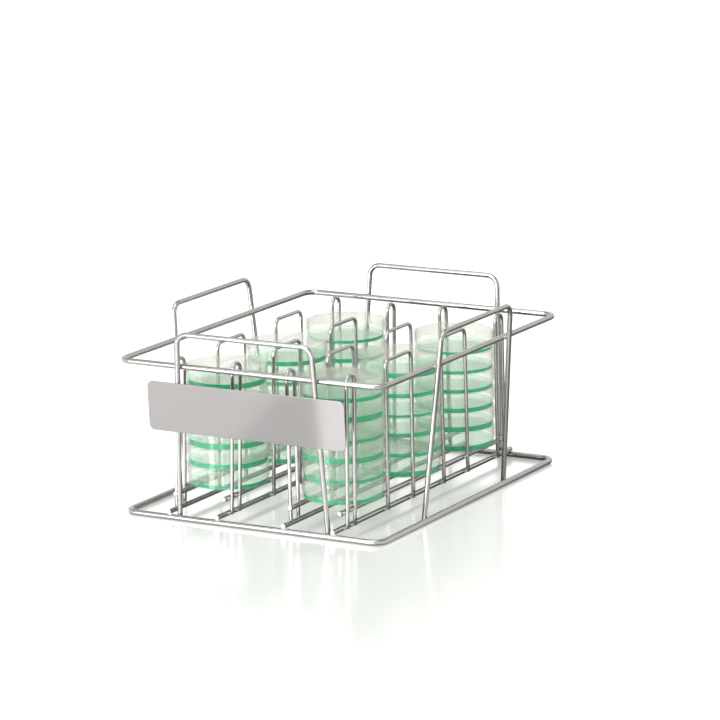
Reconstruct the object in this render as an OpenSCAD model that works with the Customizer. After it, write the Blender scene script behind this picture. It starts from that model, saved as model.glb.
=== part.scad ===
// Welded wire rack for stacks of small petri dishes, shown with its dishes in place.
// X runs along the nameplate, Y from the front to the back, Z up from the bench.

/* [Rings] */
// Width of the base ring, between wire centres
base_w = 190; // [188:1:192]
// Depth of the base ring, between wire centres
base_d = 251; // [249:1:253]
// Width of the upper ring, between wire centres
upper_w = 194; // [192:1:196]
// Depth of the upper ring, between wire centres
upper_d = 251; // [249:1:253]
// Height of the upper ring above the base ring, between wire centres
ring_rise = 101.5; // [98:0.5:106]
// Radius of the ring corners, at the wire's centre
ring_bend = 8; // [6:1:14]
// Diameter of the ring wire
ring_wire = 3.8; // [3.4:0.1:4.2]

/* [Hoops] */
// Height of the top bar of each large hoop above the base ring, between wire centres
hoop_rise = 123.8; // [120:0.1:130]
// Half the distance between the feet of the front or back hoop
end_foot = 55.4; // [54:0.1:58]
// Half the distance between the shoulders of the front or back hoop
end_shoulder = 49.6; // [48:0.1:51]
// Half the distance between the feet of a side hoop
side_foot = 57.2; // [56:0.1:60]
// Half the distance between the shoulders of a side hoop
side_shoulder = 49.4; // [48:0.1:51]
// Radius of the shoulder bends, at the wire's centre
hoop_bend = 7.5; // [6:0.5:12]
// Diameter of the hoop wire
hoop_wire = 3.4; // [3.0:0.1:3.8]

/* [Rails] */
// Distance of the inner rails from the middle of the rack
rail_near = 24.8; // [24:0.1:26]
// Distance of the outer rails from the middle of the rack
rail_far = 61.2; // [60:0.1:63]
// Height of an upper rail above the lower one, between wire centres
rail_rise = 10; // [8:0.5:12]
// Length of a lower rail
lower_rail_l = 254; // [250:1:256]
// Length of an upper rail
upper_rail_l = 236; // [232:1:240]
// Diameter of the rail wire
rail_wire = 3.4; // [3.0:0.1:3.8]

/* [Guides] */
// Height of the guide loops above the base ring's centre
guide_rise = 103.6; // [96:0.1:110]
// Distance from the middle of the rack to the outer leg of an end guide
end_guide_out = 111.8; // [110:0.1:113]
// Distance between the legs of an end guide
end_guide_span = 10; // [9.5:0.5:11]
// Distance from the middle of the rack to the near leg of a row guide
row_guide_in = 22; // [21:0.1:23]
// Distance between the legs of a row guide
row_guide_span = 35; // [34:0.5:36]
// Radius of the row guide bends, at the wire's centre
row_guide_bend = 5; // [4:0.5:8]
// Diameter of the guide wire
guide_wire = 2.5; // [2.0:0.1:2.8]

/* [Nameplate] */
// Width of the nameplate
plate_w = 146; // [130:1:160]
// Height of the nameplate
plate_h = 33; // [24:1:40]
// Thickness of the nameplate
plate_t = 1; // [0.8:0.1:1.5]
// Radius of the nameplate's corners
plate_corner = 4; // [2:0.5:8]
// Height of the nameplate's middle above the base ring's centre
plate_mid = 74.8; // [60:0.5:80]

/* [Dishes] */
// Dishes in one stack
dish_count = 6; // [1:1:6]
// Outer diameter of a lid
lid_dia = 55; // [50:0.5:56]
// Height that one dish adds to the stack
dish_pitch = 13.4; // [12:0.1:15]
// Height of a lid's skirt below its flat top
lid_skirt = 7.5; // [5:0.5:9]
// Thickness of the clear plastic
dish_wall = 0.7; // [0.6:0.1:1.1]
// Free space between a base and the lid round it
lid_play = 0.2; // [0.1:0.1:0.5]
// Height of the stacking rim above a lid's flat top
stack_rim = 0.6; // [0.3:0.1:1]

/* [Hidden] */
$fn = 64;
steel = [0.74, 0.73, 0.72];
plate_steel = [0.77, 0.76, 0.75];
clear_plastic = [0.86, 0.95, 0.90, 0.45];
agar_green = [0.10, 0.66, 0.45];

// Depth that two wires sink into each other at a weld
weld = 0.1;
// Chamfer on the cut end of a rail
cut_end = 0.3;
base_z = ring_wire / 2;
upper_z = base_z + ring_rise;

// Distance between the centres of a ring wire and of a hoop leg welded beside it
beside_ring = (ring_wire + hoop_wire) / 2 - weld;
// Height of the hoops' cut feet above the bench
hoop_foot_z = 1.2;
// Amount that a hoop's wire thins in its bends
bend_stretch = 0.04;
// Angle that a hoop's bend runs on inside the straight wire
bend_tuck = 2;
// Distances by which the feet and the top bar of a side hoop stand off along the ring
right_foot_off = -1.7;
right_top_off = -3.8;
left_foot_off = 0;
left_top_off = -1.2;

lower_rail_z = base_z + (ring_wire + rail_wire) / 2 - weld;
upper_rail_z = lower_rail_z + rail_rise;
rail_x = [-rail_far, -rail_near, rail_near, rail_far];

// Each guide stands on the side of its rails that faces away from the dishes
guide_side = [-1, 1, -1, 1];
// Depth that a guide sinks into its rails, enough for one that leans
guide_weld = 0.2;
guide_reach = (rail_wire + guide_wire) / 2 - guide_weld;
guide_top_z = base_z + guide_rise - guide_wire / 2;
guide_foot_z = lower_rail_z - 0.4;
guide_pivot_z = (lower_rail_z + upper_rail_z) / 2;
end_guide_mid = end_guide_out - end_guide_span / 2;
row_guide_mid = row_guide_in + row_guide_span / 2;
// Distance by which the top of each guide stands off to +X, rail by rail
front_end_off = [2, 2.5, -1.5, 0.5];
front_row_off = [0.5, 1.5, -2, -1];
back_row_off = [-0.5, 0.5, -1, -2];
back_end_off = [-1, 1, -2.5, -1.5];
// Amount by which each guide is taller than the rest, rail by rail
front_end_extra = [0, 0.6, 0, 0.5];
front_row_extra = [0, 0, 0, 0];
back_row_extra = [1, 0, 0, 0];
back_end_extra = [0.9, 0, 1.7, 0];

// Middles of the dish columns and rows
column_x = (rail_near + rail_far) / 2;
row_y = (end_guide_out - end_guide_span + row_guide_in + row_guide_span) / 2;
dish_floor_z = upper_rail_z + rail_wire / 2;
lid_r = lid_dia / 2;
base_r = lid_r - dish_wall - lid_play;
dish_edge = 0.4;
// Depth of agar poured into each dish, from the lowest dish up
front_left_agar = [2.2, 3.0, 3.4, 2.4, 3.2, 3.2];
front_right_agar = [2.2, 2.0, 3.2, 1.8, 3.6, 2.4];
middle_left_agar = [2.8, 2.2, 3.0, 2.6, 2.0, 2.6];
middle_right_agar = [3.2, 2.2, 2.6, 1.6, 2.4, 3.0];
back_left_agar = [2.6, 3.0, 2.2, 2.8, 2.4, 1.8];
back_right_agar = [3.2, 3.2, 2.8, 2.2, 1.8, 1.6];

// The six stacks, named for their row and column
function stack_name(s) =
    ["front_left", "front_right", "middle_left", "middle_right", "back_left", "back_right"][s];
function stack_agar(s) =
    [front_left_agar, front_right_agar, middle_left_agar, middle_right_agar,
     back_left_agar, back_right_agar][s];
function stack_drift(s) = [[-0.8, 0.4], [1, -1], [0, 0], [0, 0], [1, 0.5], [-0.5, 0.3]][s];
function stack_xy(s) =
    [(s % 2 == 0 ? -1 : 1) * column_x, (floor(s / 2) - 1) * row_y] + stack_drift(s);

function unit(v) = v / norm(v);
// Signed turn at b on the way from a to c, in degrees
function turn(a, b, c) =
    let (u = unit(b - a), v = unit(c - b)) atan2(u.x * v.y - u.y * v.x, u * v);
// Distance from a bent corner back to the start of its bend
function setback(a, b, c, bend) = bend * tan(abs(turn(a, b, c)) / 2);

// Straight wire between two points of the XY plane
module straight(a, b, wire) {
    way = b - a;
    translate([a.x, a.y, 0])
        rotate([0, 90, atan2(way.y, way.x)])
            cylinder(h = norm(way), d = wire);
}

// Bent wire at corner b, on the way from a to c, which tucks into the straights beside it
module corner(a, b, c, bend, wire, tuck = 0) {
    angle = turn(a, b, c);
    hand = sign(angle);
    u = unit(b - a);
    start = b - u * setback(a, b, c, bend);
    centre = start + hand * bend * [-u.y, u.x];
    first = atan2(start.y - centre.y, start.x - centre.x);
    translate([centre.x, centre.y, 0])
        rotate([0, 0, min(first, first + angle) - tuck])
            rotate_extrude(angle = abs(angle) + 2 * tuck)
                translate([bend, 0])
                    circle(d = wire);
}

// Wire bent along a row of points in the XY plane, with its ends cut square.
// A wire that is stretched thins by that much in its bends, which then tuck in.
module open_wire(points, bend, wire, stretch = 0, tuck = 0) {
    last = len(points) - 1;
    cut = [for (k = [0:last]) k == 0 || k == last ? 0
        : setback(points[k - 1], points[k], points[k + 1], bend)];
    union() {
        for (k = [0:last - 1]) {
            u = unit(points[k + 1] - points[k]);
            run = norm(points[k + 1] - points[k]) - cut[k] - cut[k + 1];
            if (run > 0.01)
                straight(points[k] + u * cut[k], points[k + 1] - u * cut[k + 1], wire);
        }
        for (k = [1:last - 1])
            corner(points[k - 1], points[k], points[k + 1], bend, wire - stretch, tuck);
    }
}

// Closed rectangle of wire with bent corners
module ring(width, depth, z) {
    w = width / 2;
    d = depth / 2;
    posts = [[-w, -d], [w, -d], [w, d], [-w, d]];
    color(steel) translate([0, 0, z]) union() {
        for (k = [0:3]) {
            a = posts[k];
            b = posts[(k + 1) % 4];
            c = posts[(k + 2) % 4];
            u = unit(b - a);
            straight(a + u * ring_bend, b - u * ring_bend, ring_wire);
            corner(a, b, c, ring_bend, ring_wire);
        }
    }
}

module base_ring() ring(base_w, base_d, base_z);
module upper_ring() ring(upper_w, upper_d, upper_z);

// Lean of a hoop that stands inside the base ring and outside the upper ring
function hoop_lean(base, upper) = atan((upper / 2 - base / 2 + 2 * beside_ring) / ring_rise);

// Moves a shape from the XY plane to the leaning plane of the front hoop
module on_hoop_plane(base, upper)
    translate([0, beside_ring - base / 2, base_z])
        rotate([90 + hoop_lean(base, upper), 0, 0])
            children();

// Large leaning hoop: two legs that close in a little and a straight top bar.
// Its feet and its bar can stand off along the ring by different distances.
module hoop(base, upper, foot, shoulder, foot_off = 0, top_off = 0) {
    lean = hoop_lean(base, upper);
    top = hoop_rise / cos(lean);
    toe = (hoop_foot_z - base_z) / cos(lean);
    spread = foot + (shoulder - foot) * toe / top;
    off = foot_off + (top_off - foot_off) * toe / top;
    color(steel) on_hoop_plane(base, upper)
        open_wire([[off - spread, toe], [top_off - shoulder, top],
                   [top_off + shoulder, top], [off + spread, toe]],
            hoop_bend, hoop_wire, bend_stretch, bend_tuck);
}

module front_hoop() hoop(base_d, upper_d, end_foot, end_shoulder);
module back_hoop() rotate([0, 0, 180]) front_hoop();
module right_hoop()
    rotate([0, 0, 90])
        hoop(base_w, upper_w, side_foot, side_shoulder, right_foot_off, right_top_off);
module left_hoop()
    rotate([0, 0, -90])
        hoop(base_w, upper_w, side_foot, side_shoulder, left_foot_off, left_top_off);

// Rectangle with round corners, centred
module round_rect(width, height, r) {
    square([width - 2 * r, height], center = true);
    square([width, height - 2 * r], center = true);
    for (x = [-1, 1], y = [-1, 1])
        translate([x * (width / 2 - r), y * (height / 2 - r)])
            circle(r);
}

// Flat plate welded to the outside of the front hoop's legs
module nameplate()
    color(plate_steel) on_hoop_plane(base_d, upper_d)
        translate([0, plate_mid / cos(hoop_lean(base_d, upper_d)), hoop_wire / 2 - weld])
            linear_extrude(plate_t)
                round_rect(plate_w, plate_h, plate_corner);

// Straight rail along Y with chamfered ends
module rail(x, z, length) {
    r = rail_wire / 2;
    color(steel) translate([x, 0, z]) rotate([90, 0, 0]) rotate_extrude()
        polygon([[0, -length / 2], [r - cut_end, -length / 2], [r, cut_end - length / 2],
            [r, length / 2 - cut_end], [r - cut_end, length / 2], [0, length / 2]]);
}

module lower_rail(k) rail(rail_x[k - 1], lower_rail_z, lower_rail_l);
module upper_rail(k) rail(rail_x[k - 1], upper_rail_z, upper_rail_l);

// Thin loop beside rail k, whose top stands off and up by small distances
module guide(k, mid_y, span, bend, off, extra) {
    x = rail_x[k - 1] + guide_side[k - 1] * guide_reach;
    lean = atan(off / (guide_top_z - guide_pivot_z));
    foot = guide_foot_z - guide_pivot_z;
    top = guide_top_z + extra - guide_pivot_z;
    color(steel) translate([x, mid_y, guide_pivot_z]) rotate([0, lean, 0]) rotate([90, 0, 90])
        open_wire([[-span / 2, foot], [-span / 2, top], [span / 2, top], [span / 2, foot]],
            bend, guide_wire);
}

module front_end_guide(k)
    guide(k, -end_guide_mid, end_guide_span, end_guide_span / 2,
        front_end_off[k - 1], front_end_extra[k - 1]);
module front_row_guide(k)
    guide(k, -row_guide_mid, row_guide_span, row_guide_bend,
        front_row_off[k - 1], front_row_extra[k - 1]);
module back_row_guide(k)
    guide(k, row_guide_mid, row_guide_span, row_guide_bend,
        back_row_off[k - 1], back_row_extra[k - 1]);
module back_end_guide(k)
    guide(k, end_guide_mid, end_guide_span, end_guide_span / 2,
        back_end_off[k - 1], back_end_extra[k - 1]);

// Places children once for each dish of stack s, with the dish's number in $dish
module each_dish(s) {
    place = stack_xy(s);
    for ($dish = [0:dish_count - 1])
        translate([place.x, place.y, dish_floor_z + $dish * dish_pitch])
            children();
}

// Open base dish
module dish_base() {
    top = dish_pitch - dish_wall;
    bore = base_r - dish_wall;
    rotate_extrude() polygon([[0, 0], [base_r - dish_edge, 0], [base_r, dish_edge],
        [base_r, top], [bore, top], [bore, dish_wall], [0, dish_wall]]);
}

// Lid that rests on the base's edge, with a low rim that keeps the next dish in place
module dish_lid() {
    under = dish_pitch - dish_wall;
    bore = lid_r - dish_wall;
    seat = base_r + lid_play / 2;
    top = dish_pitch + stack_rim;
    rotate_extrude() polygon([[0, under], [bore, under], [bore, under - lid_skirt],
        [lid_r, under - lid_skirt], [lid_r, top - dish_edge], [lid_r - dish_edge, top],
        [seat, top], [seat, dish_pitch], [0, dish_pitch]]);
}

module dish_bases(s) color(clear_plastic) each_dish(s) dish_base();
module dish_lids(s) color(clear_plastic) each_dish(s) dish_lid();
module agar(s)
    color(agar_green) each_dish(s)
        translate([0, 0, dish_wall])
            cylinder(h = stack_agar(s)[$dish], r = base_r - dish_wall);

base_ring();
upper_ring();
front_hoop();
back_hoop();
left_hoop();
right_hoop();
nameplate();
for (k = [1:4]) {
    lower_rail(k);
    upper_rail(k);
    front_end_guide(k);
    front_row_guide(k);
    back_row_guide(k);
    back_end_guide(k);
}
for (s = [0:5]) {
    dish_bases(s);
    dish_lids(s);
    agar(s);
}
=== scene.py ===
import math
import random

import bmesh
import bpy
from mathutils import Matrix, Vector, noise


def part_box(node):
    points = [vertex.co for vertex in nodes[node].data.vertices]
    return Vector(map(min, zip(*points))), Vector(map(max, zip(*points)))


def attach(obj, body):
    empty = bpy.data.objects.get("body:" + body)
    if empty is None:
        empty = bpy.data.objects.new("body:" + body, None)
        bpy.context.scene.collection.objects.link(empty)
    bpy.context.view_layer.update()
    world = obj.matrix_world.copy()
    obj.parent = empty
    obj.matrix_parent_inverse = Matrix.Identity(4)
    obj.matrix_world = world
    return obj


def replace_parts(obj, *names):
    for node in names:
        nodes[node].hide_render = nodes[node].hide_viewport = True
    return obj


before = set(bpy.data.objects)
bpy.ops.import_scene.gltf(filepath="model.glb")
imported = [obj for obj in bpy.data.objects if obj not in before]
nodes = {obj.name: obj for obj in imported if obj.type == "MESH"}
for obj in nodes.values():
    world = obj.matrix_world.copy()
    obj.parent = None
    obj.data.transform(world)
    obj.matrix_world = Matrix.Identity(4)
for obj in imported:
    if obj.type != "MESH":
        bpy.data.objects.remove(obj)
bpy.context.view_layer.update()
scene = bpy.context.scene
mm = 0.001
stacks = ["front_left", "front_right", "middle_left", "middle_right", "back_left", "back_right"]
rails = [1, 2, 3, 4]


def addObject(name, bm, material):
    # A finished mesh sits at the origin and rides on the rack
    mesh = bpy.data.meshes.new(name)
    bm.to_mesh(mesh)
    bm.free()
    mesh.materials.append(material)
    mesh.shade_smooth()
    piece = bpy.data.objects.new(name, mesh)
    # Rounded corners leave the large faces between them flat
    piece.modifiers.new("flatFaces", "WEIGHTED_NORMAL").weight = 100
    scene.collection.objects.link(piece)
    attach(piece, "root")
    return piece


def newMaterial(name):
    material = bpy.data.materials.new(name)
    material.use_nodes = True
    return material, material.node_tree.nodes, material.node_tree.links


def feed(links, socket, value):
    # A socket takes another node's output or a plain value
    if isinstance(value, bpy.types.NodeSocket):
        links.new(value, socket)
    else:
        socket.default_value = value


def objectPattern(tree, links, stretch, scale, detail=2):
    # Noise on Object coordinates, stretched along the axes
    place = tree.new("ShaderNodeTexCoord")
    mapping = tree.new("ShaderNodeMapping")
    mapping.inputs["Scale"].default_value = stretch
    pattern = tree.new("ShaderNodeTexNoise")
    pattern.inputs["Scale"].default_value = scale
    pattern.inputs["Detail"].default_value = detail
    links.new(place.outputs["Object"], mapping.inputs["Vector"])
    links.new(mapping.outputs["Vector"], pattern.inputs["Vector"])
    return pattern.outputs["Fac"]


def ranged(tree, links, source, low, high, fromLow=0.3, fromHigh=0.7):
    # The defaults take in most of what a noise texture gives
    span = tree.new("ShaderNodeMapRange")
    span.inputs["From Min"].default_value = fromLow
    span.inputs["From Max"].default_value = fromHigh
    span.inputs["To Min"].default_value = low
    span.inputs["To Max"].default_value = high
    links.new(source, span.inputs["Value"])
    return span.outputs["Result"]


def switched(tree, links, source, off, on):
    return ranged(tree, links, source, off, on, 0, 1)


def worked(tree, links, operation, *terms):
    step = tree.new("ShaderNodeMath")
    step.operation = operation
    for term, socket in zip(terms, step.inputs):
        feed(links, socket, term)
    return step.outputs[0]


def mixedColour(tree, links, factor, colourA, colourB):
    mix = tree.new("ShaderNodeMix")
    mix.data_type = "RGBA"
    for side, colour in (("A", colourA), ("B", colourB)):
        made = isinstance(colour, bpy.types.NodeSocket)
        feed(links, mix.inputs[side], colour if made else (*colour, 1))
    links.new(factor, mix.inputs["Factor"])
    return mix.outputs["Result"]


def mixedValue(tree, links, factor, valueA, valueB):
    mix = tree.new("ShaderNodeMix")
    feed(links, mix.inputs["A"], valueA)
    feed(links, mix.inputs["B"], valueB)
    links.new(factor, mix.inputs["Factor"])
    return mix.outputs["Result"]


def mixedShader(tree, links, factor, shaderA, shaderB):
    mix = tree.new("ShaderNodeMixShader")
    links.new(factor, mix.inputs["Fac"])
    links.new(shaderA.outputs[0], mix.inputs[1])
    links.new(shaderB.outputs[0], mix.inputs[2])
    return mix


def bumped(tree, links, height, shader, strength):
    bump = tree.new("ShaderNodeBump")
    bump.inputs["Strength"].default_value = strength
    bump.inputs["Distance"].default_value = 0.1 * mm
    links.new(height, bump.inputs["Height"])
    links.new(bump.outputs["Normal"], shader.inputs["Normal"])


def surfaced(tree, links, shader):
    links.new(shader.outputs[0], tree["Material Output"].inputs["Surface"])


wireSteel = {
    "bright": (0.58, 0.57, 0.56),
    "dull": (0.48, 0.47, 0.46),
    "polish": (0.12, 0.20),
    "cloud": 70,
    "grain": 1400,
    "bump": 0.02,
}


def makeWireSteel():
    material, tree, links = newMaterial("electropolishedWire")
    shader = tree["Principled BSDF"]
    shader.inputs["Metallic"].default_value = 1
    cloud = objectPattern(tree, links, (1, 1, 1), wireSteel["cloud"], 3)
    grain = objectPattern(tree, links, (1, 1, 1), wireSteel["grain"])
    links.new(mixedColour(tree, links, cloud, wireSteel["dull"], wireSteel["bright"]),
              shader.inputs["Base Color"])
    links.new(ranged(tree, links, cloud, *wireSteel["polish"]), shader.inputs["Roughness"])
    bumped(tree, links, grain, shader, wireSteel["bump"])
    return material


plateSteel = {
    "bright": (0.325, 0.315, 0.312),
    "dull": (0.307, 0.298, 0.296),
    "metallic": 0.64,
    "polish": (0.03, 0.05),
    "cloud": 30,
    "grain": (60, 900, 2600),  # brushed along the plate
    "bump": 0.006,
}


def makePlateSteel():
    material, tree, links = newMaterial("satinPlate")
    shader = tree["Principled BSDF"]
    shader.inputs["Metallic"].default_value = plateSteel["metallic"]
    grain = objectPattern(tree, links, plateSteel["grain"], 1)
    cloud = objectPattern(tree, links, (1, 1, 1), plateSteel["cloud"])
    links.new(mixedColour(tree, links, cloud, plateSteel["dull"], plateSteel["bright"]),
              shader.inputs["Base Color"])
    links.new(ranged(tree, links, grain, *plateSteel["polish"]), shader.inputs["Roughness"])
    bumped(tree, links, grain, shader, plateSteel["bump"])
    return material


workedSteel = {
    "bright": (0.80, 0.79, 0.78),
    "dull": (0.66, 0.65, 0.64),
    "polish": (0.38, 0.5),
    "grain": 2500,
    "bump": 0.1,
}


def makeWorkedSteel():
    # Cropped ends and weld beads, brighter and more matt than the drawn wire
    material, tree, links = newMaterial("workedSteel")
    shader = tree["Principled BSDF"]
    shader.inputs["Metallic"].default_value = 1
    grain = objectPattern(tree, links, (1, 1, 1), workedSteel["grain"])
    links.new(mixedColour(tree, links, grain, workedSteel["dull"], workedSteel["bright"]),
              shader.inputs["Base Color"])
    links.new(ranged(tree, links, grain, *workedSteel["polish"]), shader.inputs["Roughness"])
    bumped(tree, links, grain, shader, workedSteel["bump"])
    return material


clearPlastic = {
    "lid": {
        "tint": (1, 0.997, 0.989),
        "cloudy": (0.994, 0.990, 0.981),
        "veil": (0.84, 0.80, 0.73),
    },
    "base": {
        "tint": (0.998, 1, 0.999),
        "cloudy": (0.992, 0.997, 0.994),
        # green: painted light from the agar in the base walls
        "veil": (0.60, 0.84, 0.70),
    },
    "cloud": 120,
    "gloss": (0.035, 0.32),  # face on, and along the face
    "falloff": 5,
    "polish": (0.02, 0.05),
    # grey for the painted shade along outlines seen edge-on
    "outline": (0.50, 0.53, 0.51),
    "paintedOutlineFalloff": 2.4,
    "veil": (0.025, 0.10),  # face on, and along the face
    "greyVeil": (0.66, 0.68, 0.67),
}


def makeClearPlastic(name, look):
    material, tree, links = newMaterial(name)
    tree.remove(tree["Principled BSDF"])
    through = tree.new("ShaderNodeBsdfTransparent")
    shine = tree.new("ShaderNodeBsdfGlossy")
    veil = tree.new("ShaderNodeBsdfDiffuse")
    haze = objectPattern(tree, links, (1, 1, 1), clearPlastic["cloud"])
    links.new(ranged(tree, links, haze, *clearPlastic["polish"]), shine.inputs["Roughness"])
    weight = tree.new("ShaderNodeLayerWeight")
    weight.inputs["Blend"].default_value = 0.5
    facing = weight.outputs["Facing"]
    steep = worked(tree, links, "POWER", facing, clearPlastic["falloff"])
    # Painted shade at rounded edges and outlines: where the plastic is seen along its face, what
    # is behind it is greyed
    paintedEdgeShare = worked(tree, links, "POWER", steep, clearPlastic["paintedOutlineFalloff"])
    tint = mixedColour(tree, links, haze, look["tint"], look["cloudy"])
    links.new(mixedColour(tree, links, paintedEdgeShare, tint, clearPlastic["outline"]),
              through.inputs["Color"])
    # Light on its way through to the dishes behind is not held back
    path = tree.new("ShaderNodeLightPath")
    lit = switched(tree, links, path.outputs["Is Shadow Ray"], 1, 0)
    gloss = switched(tree, links, steep, *clearPlastic["gloss"])
    glossy = mixedShader(tree, links, worked(tree, links, "MULTIPLY", gloss, lit), through, shine)
    # A faint veil, thicker where the plastic is seen along its face, and grey in the metal; in
    # the base dishes the veil is green, painted light from the agar
    links.new(mixedColour(tree, links, path.outputs["Is Glossy Ray"], look["veil"],
                          clearPlastic["greyVeil"]), veil.inputs["Color"])
    thick = worked(tree, links, "MULTIPLY", switched(tree, links, facing, *clearPlastic["veil"]),
                   ranged(tree, links, haze, 0.8, 1.2))
    surfaced(tree, links, mixedShader(tree, links, worked(tree, links, "MULTIPLY", thick, lit),
                                      glossy, veil))
    return material


agarGel = {
    "side": (0.005, 0.38, 0.16),
    "cloud": 160,
    "cloudy": 1.25,
    "top": (0.60, 0.86, 0.72),
    "sideTint": (0.03, 0.55, 0.28),
    "topTint": (0.88, 0.965, 0.92),
    "greyTint": (0.90, 0.93, 0.92),
    "sideSolid": 0.75,
    "topSolid": 0.12,
    "farSolid": 0.05,
    "polish": 0.2,
    "ior": 1.34,
}


def makeAgarGel():
    # Deep green seen through the near edge, pale and see-through from above and at the far edge
    material, tree, links = newMaterial("agarGel")
    shader = tree["Principled BSDF"]
    shader.inputs["Roughness"].default_value = agarGel["polish"]
    shader.inputs["IOR"].default_value = agarGel["ior"]
    through = tree.new("ShaderNodeBsdfTransparent")
    surface = tree.new("ShaderNodeNewGeometry")
    split = tree.new("ShaderNodeSeparateXYZ")
    links.new(surface.outputs["Normal"], split.inputs["Vector"])
    upright = worked(tree, links, "ABSOLUTE", split.outputs["Z"])
    level = ranged(tree, links, upright, 0, 1, 0.3, 0.9)
    path = tree.new("ShaderNodeLightPath")
    mirrored = path.outputs["Is Glossy Ray"]
    away = worked(tree, links, "MAXIMUM", surface.outputs["Backfacing"], mirrored)
    pale = worked(tree, links, "MAXIMUM", level, away)
    cloud = objectPattern(tree, links, (1, 1, 1), agarGel["cloud"])
    cloudy = [share * agarGel["cloudy"] for share in agarGel["side"]]
    side = mixedColour(tree, links, cloud, agarGel["side"], cloudy)
    tone = mixedColour(tree, links, pale, side, agarGel["top"])
    tint = mixedColour(tree, links, pale, agarGel["sideTint"], agarGel["topTint"])
    for colour, socket in ((tone, shader.inputs["Base Color"]), (tint, through.inputs["Color"])):
        links.new(mixedColour(tree, links, mirrored, colour, agarGel["greyTint"]), socket)
    near = mixedValue(tree, links, level, agarGel["sideSolid"], agarGel["topSolid"])
    solid = mixedValue(tree, links, away, near, agarGel["farSolid"])
    surfaced(tree, links, mixedShader(tree, links, solid, through, shader))
    return material


wireMaterial = makeWireSteel()
workedMaterial = makeWorkedSteel()
plateMaterial = makePlateSteel()
lidMaterial = makeClearPlastic("clearLid", clearPlastic["lid"])
baseMaterial = makeClearPlastic("clearBase", clearPlastic["base"])
agarMaterial = makeAgarGel()
for name, node in nodes.items():
    node.data.materials.clear()
    if name.endswith("_agar"):
        node.data.materials.append(agarMaterial)
    elif name.endswith("_lids"):
        node.data.materials.append(lidMaterial)
    elif name.endswith("_bases"):
        node.data.materials.append(baseMaterial)
    elif name == "nameplate":
        node.data.materials.append(plateMaterial)
    else:
        node.data.materials.append(wireMaterial)
print("materials on", len(nodes), "nodes")


dish = {
    "count": 6,
    "pitch": 13.4 * mm,
    "wall": 0.7 * mm,
    "skirt": 7.5 * mm,
    "rim": 0.6 * mm,
    "rimWidth": 0.8 * mm,
    "baseCorner": 0.3 * mm,
    "lidCorner": 0.24 * mm,
    "steps": 96,
}


def middle(name):
    low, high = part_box(name)
    return (low + high) / 2


def turned(outline, corner):
    # Rounds an outline of (radius, height) points and spins it about the vertical axis
    bm = bmesh.new()
    points = [bm.verts.new((radius, 0, height)) for radius, height in outline]
    lines = [bm.edges.new(pair) for pair in zip(points, points[1:])]
    bmesh.ops.bevel(bm, geom=points[1:-1] + lines, offset=corner, segments=3, profile=0.5,
                    affect="VERTICES", material=-1)
    bmesh.ops.spin(bm, geom=bm.verts[:] + bm.edges[:], cent=(0, 0, 0), axis=(0, 0, 1),
                   angle=2 * math.pi, steps=dish["steps"], use_merge=True)
    bmesh.ops.remove_doubles(bm, verts=bm.verts, dist=0.01 * mm)
    bmesh.ops.recalc_face_normals(bm, faces=bm.faces)
    mesh = bpy.data.meshes.new("turned")
    bm.to_mesh(mesh)
    bm.free()
    return mesh


def stacked(name, pieces):
    # Sets turned pieces on a stack's own axis, each at its height
    bm = bmesh.new()
    centre = middle(name)
    for mesh, height in pieces:
        first = len(bm.verts)
        bm.from_mesh(mesh)
        bm.verts.ensure_lookup_table()
        bmesh.ops.translate(bm, verts=bm.verts[first:], vec=(centre.x, centre.y, height))
    return bm


def makeDishShapes():
    wall = dish["wall"]
    low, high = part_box("front_left_dish_bases")
    radius = (high.x - low.x) / 2
    tall = dish["pitch"] - wall
    base = turned([(0, 0), (radius, 0), (radius, tall), (radius - wall, tall),
                   (radius - wall, wall), (0, wall)], dish["baseCorner"])
    low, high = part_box("front_left_dish_lids")
    radius = (high.x - low.x) / 2
    under = dish["skirt"]
    face = under + wall
    rim = face + dish["rim"]
    inner = radius - dish["rimWidth"]
    lid = turned([(0, under), (radius - wall, under), (radius - wall, 0), (radius, 0),
                  (radius, rim), (inner, rim), (inner, face), (0, face)], dish["lidCorner"])
    return base, lid


def makeDishes(stack, shape, kind, label, material):
    name = f"{stack}_dish_{kind}"
    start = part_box(name)[0].z
    bm = stacked(name, [(shape, start + k * dish["pitch"]) for k in range(dish["count"])])
    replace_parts(addObject(stack + label, bm, material), name)


agarFill = {
    "gap": 0.03 * mm,
    "meniscus": 0.5 * mm,
    "climb": 1.3 * mm,
    "corner": 0.2 * mm,
}


def levels(name):
    # Heights at which a stack of flat discs starts and ends, lowest first
    found = []
    for height in sorted(v.co.z for v in nodes[name].data.vertices):
        if not found or height - found[-1] > 0.05 * mm:
            found.append(height)
    return found


def makeAgar(stack):
    name = stack + "_agar"
    low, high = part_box(name)
    radius = (high.x - low.x) / 2 - agarFill["gap"]
    found = levels(name)
    discs = []
    for bottom, top in zip(found[::2], found[1::2]):
        deep = top - bottom
        discs.append((turned([(0, 0), (radius, 0), (radius, deep + agarFill["meniscus"]),
                              (radius - agarFill["climb"], deep), (0, deep)],
                             agarFill["corner"]), bottom))
    bm = stacked(name, discs)
    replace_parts(addObject(stack + "Agar", bm, agarMaterial), name)


baseShape, lidShape = makeDishShapes()
for stack in stacks:
    makeDishes(stack, baseShape, "bases", "DishBases", baseMaterial)
    makeDishes(stack, lidShape, "lids", "DishLids", lidMaterial)
    makeAgar(stack)
print("dishes turned")


welds = {
    "ring": 1.9 * mm,  # half the ring's wire
    "rail": 1.7 * mm,  # half the rail's wire
    "guide": 1.25 * mm,  # half the guide's wire
    "long": 2.5 * mm,
    "wide": 1.35 * mm,
    "deep": 1.1 * mm,
    "longest": (0.85, 1.1),
    "beside": 1.3 * mm,
    "lumps": 0.10,
    "lumpSize": 1.7,
}


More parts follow.
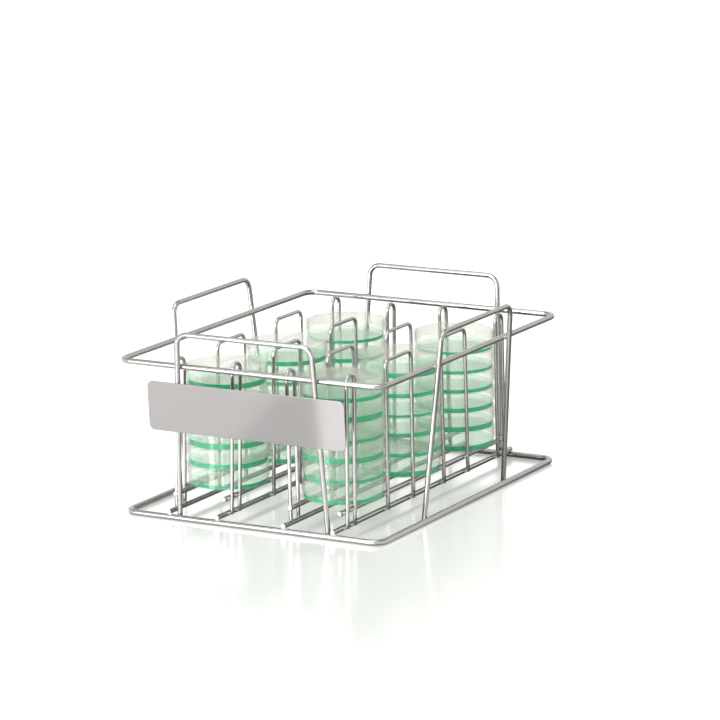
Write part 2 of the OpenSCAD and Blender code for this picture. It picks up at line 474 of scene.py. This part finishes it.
def weldBead(bm, centre, along, across, draw, share=1.0):
    # A lumpy bead where two wires touch, longest along one of them
    bead = bmesh.ops.create_icosphere(bm, subdivisions=2, radius=1)["verts"]
    shift = Vector([draw.uniform(-9, 9) for _ in range(3)])
    for v in bead:
        v.co *= 1 + welds["lumps"] * noise.noise(v.co * welds["lumpSize"] + shift)
    along, across = Vector(along), Vector(across)
    turn = Matrix((along, across.cross(along), across)).transposed().to_4x4()
    size = Matrix.Diagonal((welds["long"] * share * draw.uniform(*welds["longest"]),
                            welds["wide"] * share, welds["deep"] * share, 1))
    bmesh.ops.transform(bm, matrix=Matrix.Translation(centre) @ turn @ size, verts=bead)


def makeRailWelds():
    # Lower rails on the base ring, front and back
    draw = random.Random(11)
    bm = bmesh.new()
    low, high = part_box("base_ring")
    for k in rails:
        x = middle(f"lower_rail_{k}").x
        for y in (low.y + welds["ring"], high.y - welds["ring"]):
            weldBead(bm, (x, y, high.z), (1, 0, 0), (0, 0, 1), draw)
    addObject("railWelds", bm, workedMaterial)


def makeGuideWelds():
    # Both legs of each guide, on the upper and lower rail
    draw = random.Random(23)
    bm = bmesh.new()
    for kind in ("front_end", "front_row", "back_row", "back_end"):
        for k in rails:
            low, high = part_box(f"{kind}_guide_{k}")
            for level in ("lower", "upper"):
                rail = middle(f"{level}_rail_{k}")
                side = 1 if middle(f"{kind}_guide_{k}").x > rail.x else -1
                x = rail.x + side * welds["rail"]
                for y in (low.y + welds["guide"], high.y - welds["guide"]):
                    spot = (x, y - welds["beside"], rail.z)
                    weldBead(bm, spot, (0, 1, 0), (1, 0, 0), draw, 0.8)
    addObject("guideWelds", bm, workedMaterial)


hoopLegs = {
    "front_hoop": {"face": -1, "foot": 55.4 * mm, "shoulder": 49.6 * mm, "off": (0, 0)},
    "back_hoop": {"face": 1, "foot": 55.4 * mm, "shoulder": 49.6 * mm, "off": (0, 0)},
    "left_hoop": {"face": -1, "foot": 57.2 * mm, "shoulder": 49.4 * mm, "off": (0, 1.2 * mm)},
    "right_hoop": {"face": 1, "foot": 57.2 * mm, "shoulder": 49.4 * mm,
                   "off": (-1.7 * mm, -3.8 * mm)},
}
hoopRise = {
    "start": 1.9 * mm,
    "height": 123.8 * mm,
}


def makeHoopWelds():
    # Feet stand inside the base ring, and the legs pass outside the upper ring
    draw = random.Random(37)
    bm = bmesh.new()
    for ring, outside in (("base_ring", 0), ("upper_ring", 1)):
        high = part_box(ring)[1]
        z = middle(ring).z
        climb = (z - hoopRise["start"]) / hoopRise["height"]
        reach = 2 * welds["ring"] * (1 - outside)
        for hoop, legs in hoopLegs.items():
            face = legs["face"]
            spread = legs["foot"] + climb * (legs["shoulder"] - legs["foot"])
            off = legs["off"][0] + climb * (legs["off"][1] - legs["off"][0])
            for sign in (-1, 1):
                along = off + sign * spread - outside * welds["beside"]
                if hoop in ("front_hoop", "back_hoop"):
                    weldBead(bm, (along, face * (high.y - reach), z), (1, 0, 0), (0, 1, 0), draw)
                else:
                    weldBead(bm, (face * (high.x - reach), along, z), (0, 1, 0), (1, 0, 0), draw)
    addObject("hoopWelds", bm, workedMaterial)


railEnds = {
    "dome": 0.45 * mm,
    "inset": 0.985,
    "segments": 32,
    "rings": 12,
}


def makeRailEnds():
    # Cropped ends, domed a little
    bm = bmesh.new()
    tip = Matrix.Rotation(math.pi / 2, 4, "X")
    for level in ("lower", "upper"):
        for k in rails:
            low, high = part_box(f"{level}_rail_{k}")
            radius = (high.x - low.x) / 2
            for y in (low.y, high.y):
                cap = bmesh.ops.create_uvsphere(bm, u_segments=railEnds["segments"],
                                                v_segments=railEnds["rings"],
                                                radius=radius * railEnds["inset"])["verts"]
                bmesh.ops.scale(bm, verts=cap, vec=(1, 1, railEnds["dome"] / radius))
                place = Matrix.Translation(((low.x + high.x) / 2, y, (low.z + high.z) / 2))
                bmesh.ops.transform(bm, verts=cap, matrix=place @ tip)
    addObject("railEnds", bm, workedMaterial)


plateEdge = {
    "round": 0.22 * mm,
    "segments": 3,
    "sharp": 60,
}


def makeNameplate():
    # The plate with its sheared edge broken all round, front and back
    bm = bmesh.new()
    bm.from_mesh(nodes["nameplate"].data)
    bmesh.ops.remove_doubles(bm, verts=bm.verts, dist=0.01 * mm)
    bmesh.ops.dissolve_limit(bm, angle_limit=math.radians(1), verts=bm.verts, edges=bm.edges)
    sharp = math.radians(plateEdge["sharp"])
    edges = [e for e in bm.edges if len(e.link_faces) == 2 and e.calc_face_angle() > sharp]
    bmesh.ops.bevel(bm, geom=edges, offset=plateEdge["round"], segments=plateEdge["segments"],
                    profile=0.5, affect="EDGES", material=-1)
    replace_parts(addObject("plainNameplate", bm, plateMaterial), "nameplate")


makeRailWelds()
makeGuideWelds()
makeHoopWelds()
makeRailEnds()
makeNameplate()
print("welds, rail ends and nameplate placed")


floorLook = {
    "size": 14,
    "white": 0.82,
    "glow": 0.68,
    "given": 1.66,
    "plain": 0.66,
    "mirrored": 0.25,
    "ior": 1.5,
    "smear": (0.05, 0.17),  # in the metal, and to the eye
    "gloss": (1.7, 2.9),  # in the metal, and to the eye
    "turn": 35,
    "fade": (-0.08, 0.18),  # from the rack's middle towards the back
    # painted shade: the floor's colour near and far, and the share of its gloss kept far behind
    # the rack
    "tone": (0.85, 0.18),
    "dull": 0.3,
    # painted shadow: how much of the floor's colour and gloss is kept inside the base ring's
    # footprint
    "inside": 0.3,
    "ring": {"X": (0.0873, 0.09894), "Y": (0.11475, 0.13005)},
}


def paintedFloorShade(tree, links):
    # Painted shade on the floor as the metal sees it: its colour and gloss grow darker behind the
    # rack, and a painted shadow darkens it inside the base ring
    place = tree.new("ShaderNodeTexCoord")
    mapping = tree.new("ShaderNodeMapping")
    mapping.inputs["Rotation"].default_value = (0, 0, math.radians(floorLook["turn"]))
    turnedAxes = tree.new("ShaderNodeSeparateXYZ")
    ownAxes = tree.new("ShaderNodeSeparateXYZ")
    links.new(place.outputs["Object"], mapping.inputs["Vector"])
    links.new(mapping.outputs["Vector"], turnedAxes.inputs["Vector"])
    links.new(place.outputs["Object"], ownAxes.inputs["Vector"])
    reach = []
    for axis, span in floorLook["ring"].items():
        away = worked(tree, links, "ABSOLUTE", ownAxes.outputs[axis])
        reach.append(ranged(tree, links, away, floorLook["inside"], 1, *span))
    inside = worked(tree, links, "MAXIMUM", *reach)
    near, far = [floorLook["white"] * share for share in floorLook["tone"]]
    bright = floorLook["gloss"][0]
    behind = turnedAxes.outputs["Y"]
    tone = ranged(tree, links, behind, near, far, *floorLook["fade"])
    gloss = ranged(tree, links, behind, bright, bright * floorLook["dull"], *floorLook["fade"])
    return [worked(tree, links, "MULTIPLY", part, inside) for part in (tone, gloss)]


def makeFloor():
    bm = bmesh.new()
    bmesh.ops.create_grid(bm, x_segments=1, y_segments=1, size=floorLook["size"] / 2)
    mesh = bpy.data.meshes.new("floor")
    bm.to_mesh(mesh)
    bm.free()
    floor = bpy.data.objects.new("floor", mesh)
    scene.collection.objects.link(floor)
    material, tree, links = newMaterial("paleFloor")
    tree.remove(tree["Principled BSDF"])
    matt = tree.new("ShaderNodeBsdfDiffuse")
    glow = tree.new("ShaderNodeEmission")
    shine = tree.new("ShaderNodeBsdfGlossy")
    fresnel = tree.new("ShaderNodeFresnel")
    fresnel.inputs["IOR"].default_value = floorLook["ior"]
    path = tree.new("ShaderNodeLightPath")
    seen = path.outputs["Is Camera Ray"]
    inMetal = path.outputs["Is Glossy Ray"]
    shadedFloorTone, shadedFloorGloss = paintedFloorShade(tree, links)
    links.new(switched(tree, links, seen, *floorLook["smear"]), shine.inputs["Roughness"])
    # The floor's gloss in the metal carries the painted shade and shadow too
    weight = mixedValue(tree, links, seen, shadedFloorGloss, floorLook["gloss"][1])
    links.new(worked(tree, links, "MULTIPLY", fresnel.outputs[0], weight), shine.inputs["Color"])
    # In the metal the floor's colour takes the painted shade and shadow; to the eye it stays
    # white
    tone = mixedValue(tree, links, inMetal, floorLook["white"], shadedFloorTone)
    links.new(tone, matt.inputs["Color"])
    links.new(tone, glow.inputs["Color"])
    # The glow gives way to what the floor mirrors, so the two add up to white
    strength = floorLook["glow"] / floorLook["white"]
    kept = switched(tree, links, fresnel.outputs[0], strength,
                    strength * (1 - floorLook["given"]))
    links.new(mixedValue(tree, links, seen, 1, kept), glow.inputs["Strength"])
    share = worked(tree, links, "MULTIPLY_ADD", seen, floorLook["plain"],
                   switched(tree, links, inMetal, 0, floorLook["mirrored"]))
    both = tree.new("ShaderNodeAddShader")
    links.new(mixedShader(tree, links, share, matt, glow).outputs[0], both.inputs[0])
    links.new(shine.outputs[0], both.inputs[1])
    surfaced(tree, links, both)
    mesh.materials.append(material)


skyLook = {
    "low": 0.86,
    "high": 0.5,
    "between": (0.5, 0.7),
    "warm": (1, 0.985, 0.96),
}


def makeWorld():
    # White behind the rack, a pale warm room in what it mirrors
    world = bpy.data.worlds.new("studio")
    world.use_nodes = True
    tree, links = world.node_tree.nodes, world.node_tree.links
    background = tree["Background"]
    place = tree.new("ShaderNodeTexCoord")
    split = tree.new("ShaderNodeSeparateXYZ")
    links.new(place.outputs["Generated"], split.inputs[0])
    height = ranged(tree, links, split.outputs["Z"], skyLook["low"], skyLook["high"],
                    *skyLook["between"])
    seen = tree.new("ShaderNodeLightPath").outputs["Is Camera Ray"]
    links.new(mixedColour(tree, links, seen, skyLook["warm"], (1, 1, 1)),
              background.inputs["Color"])
    links.new(worked(tree, links, "MAXIMUM", seen, height), background.inputs["Strength"])
    scene.world = world


# The front lamps stand side by side in one wall and all face straight back
frontWall = -1.6
lamps = {
    "overhead": {"place": (-0.1, -0.47, 1.4), "size": (1.3, 1.2), "radiance": 1.9, "turn": -20},
    "frontLeft": {"place": (-0.495, frontWall, 0.75), "size": (0.41, 1.5), "radiance": 8},
    "frontSide": {"place": (-0.7595, frontWall, 0.75), "size": (0.119, 1.5), "radiance": 5},
    "frontEdge": {"place": (-0.8745, frontWall, 1.06), "size": (0.111, 0.88), "radiance": 3},
    "frontFoot": {"place": (-0.8745, frontWall, 0.18), "size": (0.111, 0.36), "radiance": 3},
    "frontSlant": {"place": (-0.951, frontWall - 0.01, 0.281), "size": (0.45, 0.7),
                   "radiance": 1.7, "turn": 45},
    "frontMiddle": {"place": (-0.05, frontWall, 0.75), "size": (0.05, 1.5), "radiance": 5},
    "frontRight": {"place": (0.29, frontWall, 0.75), "size": (0.22, 1.5), "radiance": 5},
}


def softbox(name, place, size, radiance, turn=0):
    # Faces down from overhead, or back from the front wall, turned about its own axis
    width, height = size
    lamp = bpy.data.lights.new(name, "AREA")
    lamp.shape = "RECTANGLE"
    lamp.size = width
    lamp.size_y = height
    lamp.energy = radiance * math.pi * width * height
    light = bpy.data.objects.new(name, lamp)
    light.location = place
    aim = (0, 0, -1) if name == "overhead" else (0, 1, 0)
    look = Vector(aim).to_track_quat("-Z", "Y").to_matrix()
    light.rotation_euler = (look @ Matrix.Rotation(math.radians(turn), 3, "Z")).to_euler()
    light.visible_camera = False
    scene.collection.objects.link(light)


view = {
    "stand": (1.2316, -2.2098, 0.6393),
    "turn": (77.693, 0.729, 28.717),
    "lens": 193.52,
}


def makeCamera():
    lens = bpy.data.cameras.new("camera")
    lens.sensor_width = 36
    lens.lens = view["lens"]
    lens.clip_end = 50
    camera = bpy.data.objects.new("camera", lens)
    camera.location = view["stand"]
    camera.rotation_euler = [math.radians(angle) for angle in view["turn"]]
    scene.collection.objects.link(camera)
    scene.camera = camera


makeFloor()
makeWorld()
for name, lamp in lamps.items():
    softbox(name, **lamp)
makeCamera()
scene.view_settings.view_transform = "Standard"
scene.cycles.transparent_max_bounces = 96
print("stage ready")
